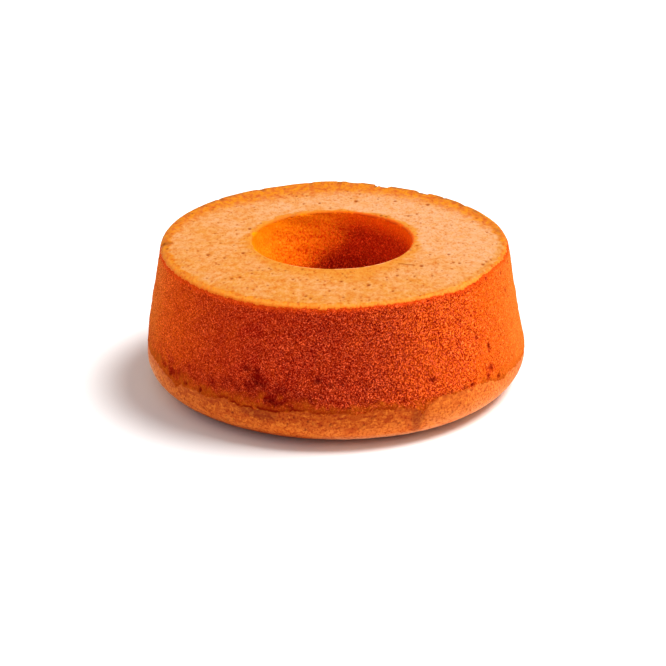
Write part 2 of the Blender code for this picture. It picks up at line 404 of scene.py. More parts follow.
# The torn crumb of the side
crumb = {
    "columns": 1036,  # of one half; the cells are under half a millimetre
    "rows": 94,
    "overlap": 1.5,  # columns that the halves share, which dip under each other
    "dip": 0.12 * mm,
    "underLower": 2.4 * mm,  # how far it runs on under the lower crust, and under the top crust
    "underUpper": 14,
    "poreSize": 1.4 * mm,
    "poreDepth": 0.34 * mm,
    "poreSway": 0.5,  # in mm, how far the pores and the holes are pushed about
    "holeSway": 1.3,
    "swaySize": 2.4 * mm,
    "poreStretch": (1, 1, 0.86),  # they are a little taller than wide
    "holeSize": 4.6 * mm,
    "holeShare": 0.05,
    "holeDepth": 0.6 * mm,
    "grain": 0.11 * mm,
    "grainSize": 0.95 * mm,
    "sunk": 0.14 * mm,  # below the solid's even side at the seam, dying away upwards
    "sunkReach": 8 * mm,
    "crevice": 0.5 * mm,
    "creviceReach": 1.7 * mm,
    "scrapHeight": 0.28 * mm,
    "scrapSize": 2.8 * mm,
    "smudgeHeight": 8.5 * mm,  # the darker crumb lies about this far above the seam
    "smudgeReach": 6.5 * mm,
    "glowReach": 4.4 * mm,  # how far down from the top crust the crumb is painted lighter, as painted light where the shoulder turns up
    # how open the crumb is: coarse right of the middle, close and fine at the far right
    "open": {
        -170: 0.62, -140: 0.62, -115: 0.7, -90: 1, -72: 1.3, -50: 1.2, -38: 0.75, -18: 0.45, 0: 0.4,
        25: 0.7, 60: 0.9, 100: 0.75, 135: 0.9, 160: 0.68,
    },
    # where the seam gapes
    "gape": {
        -180: 0.1, -150: 0.2, -134: 0.25, -127: 0.4, -122: 0.95, -102: 1, -98: 0.55, -84: 0.4, -72: 0.45,
        -62: 0.3, -50: 0.1, -40: 0.1, -28: 0.05, 0: 0.1, 40: 0.5, 90: 0.2, 140: 0.6,
    },
    # up to this height in mm, scraps of crust still cling to the crumb above the seam
    "scrapTop": {
        -170: 29, -150: 31, -135: 29.5, -122: 30.5, -107.5: 34, -95: 31, -88: 28.7, -81: 32, -74: 27.8,
        -63.5: 28, -50: 28.6, -38: 27.6, -25: 25, -10: 23, 15: 27, 40: 31, 58: 26, 80: 30, 96: 25,
        120: 29, 140: 26, 165: 30,
    },
    # torn places: angle, height, width, tall and depth, all but the angle in mm
    "tears": (
        (-113.2, 41.8, 5.6, 8.8, 1.2), (-116.5, 45.6, 5.2, 4, 0.8), (-111.3, 38.8, 5, 3.6, 0.8),
        (-108.2, 29.5, 7.6, 5.6, 1.2), (-105.6, 28.6, 4.8, 3.2, 0.8), (-94.8, 43.2, 4.6, 4.2, 1.1),
        (-91.5, 40.6, 5, 3.6, 0.5), (-60.7, 37.6, 4, 3.4, 0.8), (-42.5, 53.6, 2.6, 3, 0.7),
        (-36.7, 44.2, 2.4, 5, 0.8), (-38.8, 27.4, 3, 3.8, 0.9), (-37.2, 31.4, 5, 3.8, 0.8),
        (-21.3, 69.1, 2.4, 3.4, 0.5), (-151.4, 27.4, 4, 3, 0.5), (-146, 27, 7, 4, 0.5),
        (24, 34.5, 5, 4.4, 1.1), (66, 42, 3.8, 5.6, 1), (109, 31, 5.6, 3.6, 1.1), (147, 53, 3.6, 4.4, 1),
        (-33.8, 24, 2.8, 2.6, 0.8), (-46.2, 27.2, 3, 2.4, 0.9), (-49.8, 27, 4, 2.2, 0.6),
        (-147.1, 25.8, 2.2, 3.4, 0.9), (-138.9, 24.6, 2.6, 2, 0.7), (-141.9, 81.8, 1.8, 1.6, 0.6),
        (-13.2, 81.2, 1.8, 2.6, 0.7), (-33.6, 84.3, 2.6, 1.8, 0.8), (-39.8, 84.6, 1.8, 1.4, 0.7),
        (-22.8, 80.8, 1.8, 2.2, 0.6), (-56.5, 79.5, 2, 2, 0.4), (-54.5, 27.6, 2.4, 1.6, 0.5),
        (-103, 27.2, 4.6, 2, 0.6), (-86, 27.4, 3.6, 1.8, 0.5), (-79, 30.5, 4, 2.2, 0.4),
        (-70, 29, 4.6, 2.4, 0.4), (-128, 31.5, 5, 3, 0.4), (-99, 33, 7, 3.4, 0.5),
        (-138.2, 35.8, 2.6, 2.6, 0.6), (-132.5, 25, 2.2, 3.6, 0.8), (-114.6, 35.6, 7, 5, 0.8),
        (-106, 35.6, 7, 5, 0.6),
    ),
    # where the crumb is darker a little above the seam
    "dusk": {
        -180: 0.3, -160: 0.5, -148: 0.9, -135: 0.7, -120: 1, -100: 0.95, -88: 0.4, -75: 0.2, -45: 0.1,
        0: 0.1, 40: 0.5, 100: 0.4, 140: 0.6,
    },
    # painted shading: the colour goes from the deep red brown of the front, where shade falls, to bright
    # orange on the lit right, and fades to tan at both edges, where light grazes them
    "baked": {
        -176: 0.9, -162: 0.8, -152: 0.6, -143: 0.42, -134: 0.22, -125: 0.08, -112: 0, -98: 0.02,
        -84: 0.1, -75: 0.3, -65: 0.62, -55: 0.85, -42: 1, 0: 1, 50: 0.8, 100: 0.55, 150: 0.7,
    },
    "tan": {
        -180: 0.9, -166: 0.75, -157: 0.25, -147: 0.05, -60: 0, -40: 0.06, -26: 0.4, -15: 0.75, 0: 0.8,
        60: 0.5, 120: 0.35,
    },
}


def tornPlaces(points, degrees, tears):
    # how deep each point lies in a torn place, in metres and as a share, and how near it is to one
    depth, share, halo = (np.zeros(points.shape[:-1]) for _ in range(3))
    ragged = noiseAt(points, 2.4 * mm, 31.0)
    aside, about = noiseAt(points, 1.7 * mm, 33.0), noiseAt(points, 1.7 * mm, 35.0)
    radius, height = radiusOf(points), points[..., 2]
    for angle, level, width, tall, deep in tears:
        across = np.radians(turnFrom(angle, degrees)) * radius / (width * mm / 2)
        up = (height - level * mm) / (tall * mm / 2)
        reach = np.hypot(across + 0.45 * aside, up + 0.45 * about) * (1 + 0.6 * ragged)
        inside = fade(0.2, 1.25, reach)
        depth = np.maximum(depth, inside * deep * mm)
        share = np.maximum(share, inside * min(1, deep / 1.2))
        halo = np.maximum(halo, fade(0.6, 2.1, reach) * min(1, deep / 1.4))
    return depth, share, halo


def crumbHalf(name, start, end):
    c = crumb
    step = (end - start) / c["columns"]
    columns = c["columns"] + 1 + round(2 * c["overlap"])
    degrees = np.linspace(start - c["overlap"] * step, end + c["overlap"] * step, columns)[None]
    here = marksAt(c, degrees)
    seam, edge = seamHeight(degrees), crustEdge(degrees)
    low = outline.sideAt(seam - c["underLower"])
    high = edge + section["shoulderRounding"] * math.radians(c["underUpper"])
    along = low + (high - low) * shares(c["rows"])
    points, normals = outline.ring(along, degrees)
    aboveSeam, belowEdge = points[..., 2] - seam, edge - along

    opened = here["open"] * (1 + 0.2 * noiseAt(points, 22 * mm, 2.0))
    sway = swayAt(points, c["swaySize"])
    wall, _, luck = cellsAt((points + sway * c["poreSway"] * mm) * c["poreStretch"], c["poreSize"])
    pore = ease(0.04, 0.38, wall) * (0.5 + 0.5 * luck)
    _, near, luck = cellsAt(points + sway * c["holeSway"] * mm, c["holeSize"])
    hole = fade(0.14, 0.34, near) * (luck < c["holeShare"])
    torn, tornShare, halo = tornPlaces(points, degrees, c["tears"])

    scrapTop = here["scrapTop"] * mm + 4 * mm * noiseAt(points, 6.5 * mm, 21.0)
    clinging = 0.15 + 0.45 * bell(aboveSeam, 4 * mm)
    scrap = fade(-3.5 * mm, 2.5 * mm, points[..., 2] - scrapTop)
    scrap = scrap * ease(-0.5, 0.5, noiseAt(points, c["scrapSize"], 41.0) + clinging) * (1 - tornShare)
    openness = opened * (1 - 0.6 * scrap) * (0.45 + 0.55 * ease(0, 3.5 * mm, belowEdge))

    crevice = bell(np.maximum(aboveSeam - 0.1 * mm, 0), c["creviceReach"])
    crevice = crevice * here["gape"] * ease(-0.5, -0.1, noiseAt(points, 3.6 * mm, 17.0))
    inset = c["sunk"] * np.clip(1 - aboveSeam / c["sunkReach"], 0, 1)
    inset += c["crevice"] * crevice + 0.5 * mm * fade(-1.2 * mm, 0, aboveSeam)
    inset += 0.12 * mm * bell(np.maximum(belowEdge, 0), 2.2 * mm)
    inset += 0.35 * mm * fade(-0.8 * mm, 0.1 * mm, belowEdge)
    inset += c["poreDepth"] * pore * openness + c["holeDepth"] * hole * openness
    inset += torn - c["scrapHeight"] * scrap
    inset += c["grain"] * opened * noiseAt(points, c["grainSize"], 4.0)
    fromEnd = np.minimum(np.arange(columns), np.arange(columns)[::-1])
    inset += c["dip"] * np.clip(2 - fromEnd, 0, 2)

    lumps = ease(0, 3 * mm, belowEdge) * ease(0, 2 * mm, aboveSeam)
    # darker crumb a little above the seam and round the torn places
    smudge = bell(aboveSeam - c["smudgeHeight"], c["smudgeReach"])
    smudge = smudge * (0.55 + 0.9 * noiseAt(points, 5 * mm, 51.0)) * here["dusk"] + 0.9 * halo
    ragged = belowEdge + 1.5 * mm * noiseAt(points, 2.6 * mm, 61.0)
    points = settled(points, normals, degrees, lumps) - normals * inset[..., None]
    marks = {
        "pore": np.clip(pore * openness + 0.4 * hole, 0, 1.2),
        "open": openness,
        # the torn places and the seam's crevice are painted dark red, as painted shade in these hollows
        "torn": np.clip(0.85 * tornShare + crevice * ease(-0.6 * mm, 0.1 * mm, aboveSeam), 0, 1),
        "smudge": np.clip(smudge, 0, 1),
        # painted light on the crumb just below the top crust
        "glow": fade(0.1 * mm, c["glowReach"], ragged),
        "scrap": scrap * np.clip(0.85 + 0.5 * noiseAt(points, 1.9 * mm, 43.0), 0, 1),
        "baked": here["baked"],
        "tan": here["tan"],
    }
    return ringPiece(name, points, False, 3, marks)


def tornCrumbMaterial():
    # Chiffon sponge torn from an ungreased tin: open and matte. The thin walls between its pores are painted
    # lighter, as painted highlights, and the pores deep red brown, as painted shade.
    finish = Finish("torn chiffon crumb", 0.01)
    # the walls seen edge-on are thin crooked lines: where a coarser noise crosses its middle value
    finish.pattern([("strands", "spot", 2.1, 1)], (), Roughness=0.5, Distortion=0.6)
    finish["strand"] = finish.add("Math", 0, {"operation": "COMPARE"}, i0="strands", i1=0.5, i2=0.026)
    # the walls between the finest pores are half a millimetre; drawn at nearly 1 mm so that they show
    noises = (("grain", "spot", 0.86, 1), ("fleck", "spot", 0.68, 1), ("patch", "spot", 11, 2))
    ranges = (
        ("drift", "patch", 0.35, 0.7, 0.2), ("dark", "grain", 0.56, 0.36, 1),
        ("light", "grain", 0.54, 0.68, 1), ("spark", "fleck", 0.56, 0.69, 1),
        ("breaks", "fleck", 0.38, 0.52, 1),
    )
    products = [(name, "open") for name in ("light", "spark", "dark", "strand")] + [("strand", "breaks")]
    finish.pattern(noises, ranges, products, Roughness=0.55, Distortion=0.8)
    added = {"operation": "ADD", "use_clamp": True}
    # painted shading round the ring, broken up by random patches
    finish["baked"] = finish.add("Math", 0, added, i0="baked", i1="drift")
    layers = (
        ("baked", "#E46806"), ("tan", "#D87C30"), ("glow", "#DA4E0C"), ("scrap", "#C06014"),
        ("smudge", "#CC7464", "MULTIPLY"), ("pore", "#E09E4C", "MULTIPLY"),
        ("dark", "#B45E1E", "MULTIPLY"), ("light", "#A85232", "ADD"), ("spark", "#A45436", "ADD"),
        ("strand", "#A45238", "ADD"), ("torn", "#7A0600"),
    )
    return finish.lay("#A41400", layers, "grain", (0.68, 0.92), (0.7, 0.3 * mm))


# The crust of the top
topCrust = {
    "columns": 1000,
    "rows": 88,
    "thickness": 0.22 * mm,
    "overLip": 2.9 * mm,  # how far it turns down over the lip of the bore
    "thinning": 0.35,  # of its edge there, against its outer edge
    "dimple": 0.12 * mm,
    "dimpleSize": 7 * mm,
    "stipple": 0.04 * mm,
    "stippleSize": 1.3 * mm,
    "speckDepth": 0.45 * mm,
    "stretch": 0.62,  # the bubbles and the grain are longer from front to back
    # burst bubbles that stand out: angle, radius and width in mm
    "specks": (
        (161, 55, 3), (-156.5, 60, 2.8), (-154, 73.5, 2.2), (-160.5, 81, 2.8), (-131, 84.5, 2.3),
        (-132.5, 89, 2.4), (98.5, 65, 2.3), (78.5, 69.5, 3.2), (60.2, 78.8, 2.4), (45.8, 86, 3.2),
        (40.8, 62, 2.4), (39.8, 68, 2), (-21, 73.5, 2.3), (-29.3, 81, 2.2), (-28.8, 84.8, 2.2),
        (-41.4, 68.7, 3), (-26, 98, 2.5), (-59, 71, 2.3), (-75.5, 78, 3), (-87, 70, 2.4),
        (-21.9, 50.6, 2.2), (-176.5, 105, 2.6), (-171, 103, 2.3), (-155, 79, 1.8), (-132, 96.4, 1.6),
        (-133.2, 71.7, 1.8), (-131, 69.3, 1.6), (-129.2, 67.5, 1.6), (-126.5, 63.3, 1.8),
        (-118.6, 60.5, 1.8), (-110.1, 71, 2), (-106.6, 70.7, 1.6), (-103.7, 68.9, 1.8),
        (-98.4, 68.8, 1.8), (-117, 85.6, 1.9), (-100.2, 93.8, 2.2), (-98.2, 96.7, 2.2),
        (-139.2, 98.7, 1.8), (-105.1, 61.4, 1.6), (-119.6, 94.4, 1.7), (-82.2, 82.8, 1.9),
        (-54.1, 63.2, 1.8), (-85, 58.2, 1.8), (-79.7, 56.1, 1.6), (-13.2, 52.6, 2), (-78.8, 100.3, 1.9),
        (-68.5, 91.1, 2.1), (-61.9, 103.5, 1.7), (166, 63, 1.9), (158, 66, 1.8), (53.5, 51.6, 2.4),
        (49.5, 52, 2.2),
    ),
    # and small ones strewn at random: how many, between which radii, and between which widths, in mm
    "seed": 11,
    "strewn": 180,
    "strewnRadii": (52, 102),
    "strewnWidths": (0.9, 2.1),
    # scratches in the crust: where they start and end, in mm, and how wide they are
    "scratches": (
        (38.9, -41.5, 47.1, -44.3, 2), (44.8, 40.2, 49.2, 41.2, 1.4), (17.9, 101.7, 28.4, 99, 1.4),
    ),
    # chips out of the rim: angle, length and depth in mm, and how brown they are
    "chips": (
        (74.2, 3.4, 1.7, 1), (71.4, 8, 1.2, 0.2), (83, 10, 0.5, 0.1), (56, 11, 1, 0.5),
        (37, 7.6, 0.5, 0.6), (118, 6, 0.4, 0.6), (-33.5, 5.6, 0.5, 0.1), (-176, 6, 0.4, 0.6),
        (88, 4, 0.3, 0.4), (99, 3.5, 0.3, 0.4), (47, 4, 0.4, 0.5), (136, 4, 0.3, 0.4),
    ),
    "chipReach": 6 * mm,
    # how far in from the shoulder the more orange rim reaches, in mm
    "rim": {
        -178: 6, -168: 3.4, -155: 2, -130: 1.2, -105: 0.8, -85: 0.4, -60: 0.5, -30: 1, -5: 2.5, 12: 10,
        28: 17, 45: 20, 65: 23, 90: 28, 112: 30, 130: 27, 150: 16, 168: 9,
    },
    # how far out from the bore the crust is yellower, in mm
    "lip": {
        -180: 6, -165: 4, -148: 6, -128: 13, -110: 18, -90: 20, -72: 20, -52: 12, -30: 7, -8: 3, 45: 2,
        100: 1.6, 140: 2, 165: 4,
    },
    # where the turn of the shoulder is painted lighter, as painted light against the shade that falls there,
    # and where its lowest edge is orange
    "brow": {-175: 0.2, -160: 0.5, -100: 0.7, -60: 0.6, -30: 0.5, -15: 0.2, 0: 0, 165: 0},
    "hem": {-180: 0.85, -165: 0.9, -95: 0.95, -80: 0.85, -60: 0.8, -40: 0.6, 0: 0.3, 150: 0.3, 170: 0.6},
    # where the rim's edge is scorched brown, and where the edge round the bore is
    "scorch": {
        -180: 0.3, -165: 0, -15: 0, 0: 0.3, 15: 0.8, 74: 1, 81: 0.6, 88: 0.3, 104: 0.3, 114: 0.7,
        148: 0.8, 165: 0.4,
    },
    "lipScorch": {-180: 0, 45: 0, 52: 0.7, 58: 0, 108: 0, 117: 0.7, 124: 0.2, 140: 0.3, 150: 0},
    # where the crust turns to the colour of the crumb over the bore's lip, in mm from where the lip starts
    "lipTurn": {-150: 0.8, -25: 0.8, 0: -0.3, 140: -0.3, 175: 0.6},
    # where the edge round the bore has a thin painted highlight
    "lipLine": {-135: 0, -118: 0.2, -95: 0.5, -50: 0.6, -30: 0.4, -12: 0, 180: 0},
    # the crust is paler at the back and the right
    "pale": {
        -172: 0.32, -150: 0.25, -130: 0.1, -90: 0.12, -66: 0.15, -50: 0.5, -34: 0.5, -14: 0.95, 12: 1,
        45: 1, 78: 1, 102: 0.72, 130: 0.55, 155: 0.45,
    },
    # and the crumb colour over the bore's lip is painted redder to the right, as painted shade, like the
    # bore's crumb
    "red": {-175: 0, -120: 0.2, -60: 0.9, 0: 1, 72: 1, 86: 0.7, 98: 0.3, 112: 0.06, 150: 0},
}


def allSpecks():
    t = topCrust
    draw = np.random.default_rng(t["seed"])
    angles = draw.uniform(-180, 180, t["strewn"])
    inner, outer = t["strewnRadii"]
    radii = np.sqrt(draw.uniform(inner ** 2, outer ** 2, t["strewn"]))
    small, large = t["strewnWidths"]
    widths = small + (large - small) * draw.uniform(0, 1, t["strewn"]) ** 2
    return list(t["specks"]) + list(zip(angles, radii, widths))


def topPiece():
    t = topCrust
    degrees = evenRing(t["columns"])
    here = marksAt(t, degrees)
    edge = crustEdge(degrees)
    lipSpots = onCircle(degrees, section["boreTopRadius"])
    shoulder, topStart, lip = (outline.at[place] for place in ("shoulder", "top", "lip"))
    ragged = noiseAt(lipSpots, 6 * mm, 2.0) + noiseAt(lipSpots, 2 * mm)
    inner = lip + t["overLip"] * (1 + 0.28 * ragged)
    curlIn, curlDown = np.array(seams["edgeCurl"]).T[..., None] * t["thickness"]
    first, last = edge + curlIn, inner - curlIn[::-1]
    share = shares(t["rows"] + 2)[1:-1]
    middle = first[-1:] + (last[:1] - first[-1:]) * share
    along = np.concatenate((first, middle, last))
    below = np.concatenate((curlDown, 0 * share, curlDown[::-1] * t["thinning"])) + 0 * degrees
    points, normals = outline.ring(along, degrees)
    radius = radiusOf(points)

    speck = np.zeros(radius.shape)
    for angle, far, width in allSpecks():
        x, y = far * mm * math.cos(math.radians(angle)), far * mm * math.sin(math.radians(angle))
        near = np.hypot(points[..., 0] - x, t["stretch"] * (points[..., 1] - y))
        strength = min(1.0, 0.02 + 0.38 * width)
        speck = np.maximum(speck, strength * fade(0.3, 1.15, near / (width * mm / 2)))
    for startX, startY, endX, endY, width in t["scratches"]:
        toStart = points[..., :2] - np.array((startX, startY)) * mm
        run = np.array((endX - startX, endY - startY)) * mm
        share = np.clip(toStart @ run / (run @ run), 0, 1)
        near = np.linalg.norm(toStart - share[..., None] * run, axis=-1)
        speck = np.maximum(speck, 0.8 * fade(0.2, 1.1, near / (width * mm / 2)))
    onTop = ease(0, 1 * mm, along - edge) * ease(0, 1 * mm, inner - along)
    chipped, brown = np.zeros(radius.shape), np.zeros(radius.shape)
    toRim = np.abs(along - topStart + 1.4 * mm)
    for angle, length, deep, stain in t["chips"]:
        across = np.radians(turnFrom(angle, degrees)) * radius / (length * mm / 2)
        away = np.hypot(across, toRim / t["chipReach"]) * (1 + 0.4 * noiseAt(points, 3 * mm))
        inside = fade(0.5, 1.1, away)
        chipped = np.maximum(chipped, inside * deep * 0.9 * mm)
        brown = np.maximum(brown, inside * stain)
    inset = below + t["speckDepth"] * speck * onTop + chipped
    inset += t["dimple"] * noiseAt(points, t["dimpleSize"], 8.0)
    inset += t["stipple"] * noiseAt(points, t["stippleSize"], 6.0)

    mottle = noiseAt(points, 4.5 * mm, 14.0)
    broken = noiseAt(points, 3.4 * mm, 64.0)
    turn = np.degrees((along - shoulder) / section["shoulderRounding"])
    fromRim = along - shoulder - section["shoulderRounding"] * 1.2 + 3.2 * mm * mottle
    fromBore = lip - along + 3.4 * mm * mottle
    pale = here["pale"] + 0.35 * noiseAt(points, 16 * mm, 24.0) + 0.3 * mottle
    pastLip = along - lip + 0.7 * mm * noiseAt(points, 2.2 * mm, 34.0)
    overLip = ease(0, 2.1 * mm, pastLip - here["lipTurn"] * mm)
    scorch = 0.85 * bell(along - topStart - 0.2 * mm, 1.6 * mm) * here["scorch"]
    scorch = scorch * (0.25 + 0.75 * ease(-0.1, 0.2, broken))
    lipScorch = bell(along - lip - 1.5 * mm, 1.2 * mm) * here["lipScorch"]
    lipLine = bell(along - lip - 0.3 * mm, 0.6 * mm) * ease(-0.3, 0.2, broken)
    hem = fade(0.2 * mm, 2.6 * mm, along - edge + 1.0 * mm * noiseAt(points, 2.2 * mm, 66.0))
    marks = {
        "speck": speck,
        "rim": fade(0.4, 1.2, fromRim / (here["rim"] * mm)),
        "lip": fade(0.25, 1.15, fromBore / (here["lip"] * mm)),
        "pale": np.clip(pale, 0, 1) * (1 - 0.8 * ease(0, 3 * mm, edge + 8 * mm - along)),
        "brow": fade(46, 92, turn) * here["brow"],
        "hem": hem * here["hem"],
        "scorch": np.maximum(scorch, lipScorch * ease(-0.05, 0.25, broken)),
        "lipLine": lipLine * here["lipLine"],
        "chip": brown,
        "torn": ease(0.2, 1.6, below / t["thickness"]) * (1 - overLip),
        "overLip": overLip,
        "red": here["red"],
    }
    points = settled(points, normals, degrees) - normals * inset[..., None]
    return ringPiece("top_crust", points, True, 3, marks)


def topCrustMaterial():
    # The thin crust baked against the tin's flat floor: smooth and satin, golden tan with fine stipple
    # and small burst bubbles, more orange along its rim and round the bore.
    finish = Finish("smooth tin-baked chiffon crust", 0.1)
    finish["longSpot"] = finish.add("Mapping", "Vector", Vector="spot", Scale=(1, topCrust["stretch"], 1))
    # pinprick bubbles, in one of seven cells
    finish["prickDot"] = finish.add("TexVoronoi", "Distance", Vector="longSpot", Scale=1 / (3 * mm))
    luck = finish.add("SeparateColor", 0, Color=finish["prickDot"].node.outputs["Color"])
    finish["prickHere"] = finish.add("Math", 0, {"operation": "LESS_THAN"}, i0=luck, i1=0.14)
    noises = (
        ("blotch", "spot", 5.5, 3), ("cloud", "longSpot", 3.2, 1), ("stipple", "longSpot", 1.25, 2),
        ("pepper", "longSpot", 1.7, 0),
    )
    ranges = (
        ("tint", "blotch", 0.45, 0.66, 0.75), ("haze", "cloud", 0.52, 0.32, 0.55),
        ("grain", "stipple", 0.48, 0.7, 0.6), ("ember", "cloud", 0.55, 0.7, 0.6),
        ("spots", "pepper", 0.62, 0.74, 0.5), ("prick", "prickDot", 0.3, 0.12, 0.6),
        ("rimPatch", "cloud", 0.38, 0.62, 1),
    )
    finish.pattern(noises, ranges, [("prick", "prickHere")], Roughness=0.6)
    tints = (("boreTint", "red", "#E67E14", "#E4600C"), ("rimTint", "rimPatch", "#CC8014", "#C27024"))
    layers = (
        ("pale", "#CC9A72"), ("haze", "#D09A68"), ("lip", "#C88432"), ("rim", "rimTint"),
        ("tint", "#FAE4B4", "MULTIPLY"), ("ember", "#F8DCB0", "MULTIPLY"), ("brow", "#F6A448"),
        ("hem", "#EC7C20"), ("grain", "#F2D08C", "MULTIPLY"), ("spots", "#EAC078", "MULTIPLY"),
        ("prick", "#CC8C40", "MULTIPLY"), ("chip", "#8E4814"), ("torn", "#DE7424"), ("speck", "#964A0A"),
        ("overLip", "boreTint"), ("lipLine", "#FFB68C"), ("scorch", "#8C5628"),
    )
    return finish.lay("#C6863C", layers, "stipple", (0.5, 0.72), (0.55, 0.2 * mm), tints)


# The crust of the foot
footCrust = {
    "columns": 1000,
    "thickness": 0.3 * mm,
    "sunk": 0.2 * mm,  # below the solid's even side at the seam
    "bandRows": 46,  # from the seam to the flat underside, over it, and up into the bore
    "flatRows": 4,
    "boreRows": 6,
    "boreRise": 62,  # how far up the bore's foot rounding it reaches, in degrees
    "dimple": 0.14 * mm,
    "dimpleSize": 8 * mm,
    "pucker": 0.09 * mm,
    "puckerSize": 2.6 * mm,
    "pitDepth": 0.5 * mm,
    # burst bubbles: angle, height and width in mm
    "pits": (
        (-120.4, 17.3, 2.1), (-122.6, 10.6, 1.6), (-64.4, 19.7, 2.7), (-101.5, 20.8, 1.7),
        (-97.5, 19.1, 1.9), (-98.2, 13.7, 1.9), (-103.3, 16.2, 1.6), (-91.2, 17.4, 1.8), (-96, 18, 1.5),
        (-81.8, 16.8, 1.5), (-79.5, 20.8, 1.5), (-112, 12, 1.4), (-52, 18, 1.4), (-131, 14, 1.4),
        (-30, 15, 1.5), (-18, 14, 1.4), (-8, 17, 1.5), (20, 14, 1.7), (48, 17, 1.5), (77, 12, 1.6),
        (104, 15, 1.8), (133, 13, 1.5), (160, 16, 1.6), (-170, 15, 1.5), (-152, 17, 1.6),
    ),
    # and small ones strewn at random: how many, between which heights, and between which widths, in mm
    "seed": 23,
    "strewn": 110,
    "strewnHeights": (5, 23),
    "strewnWidths": (0.8, 1.5),
    "creaseAngle": -64.3,
    "creaseDepth": 0.5 * mm,
    "curlHeight": 5.4 * mm,
    "curlOut": 0.3 * mm,
    # how pale the crust is: browner at the front and left, paler and pinker right of the crease, and pale at
    # the far left edge; partly the crust's own tone, partly painted shade at the front and painted light at
    # the sides
    "pale": {
        -180: 1, -157: 1, -148: 0.45, -135: 0.18, -120: 0.1, -95: 0.1, -82: 0.15, -74: 0.15, -68: 0.1,
        -64.6: 0.05, -63.2: 0.6, -54: 0.65, -42: 1, -31: 1, -22: 0.8, 40: 0.6, 100: 0.4, 150: 0.7,
    },
    # where its edge at the seam is frayed and browner
    "fray": {-180: 0, -150: 0.9, -60: 1, -45: 0.5, -35: 0.12, -20: 0, 10: 0.3, 80: 0.6, 140: 0.5},
    # smooth, darker places: angle, height, width and tall in mm
    "sleekPlaces": ((-112.3, 20.4, 27, 6.5), (-66.4, 15.5, 7.5, 20), (30, 17, 40, 6), (120, 16, 30, 6)),
    # where the lowest edge curls out into the light
    "curl": {-180: 0.2, -150: 0, -98: 0, -88: 0.6, -78: 0.7, -64: 0.9, -52: 0.4, -20: 0, 150: 0},
    # and where it lies in shade
    "shade": {-160: 0.1, -148: 0.5, -138: 1, -106: 1, -96: 0.4, -86: 0, 160: 0},
}


def allPits():
    f = footCrust
    draw = np.random.default_rng(f["seed"])
    angles, heights, widths = (draw.uniform(*between, f["strewn"])
                               for between in ((-180, 180), f["strewnHeights"], f["strewnWidths"]))
    return list(f["pits"]) + list(zip(angles, heights, widths))


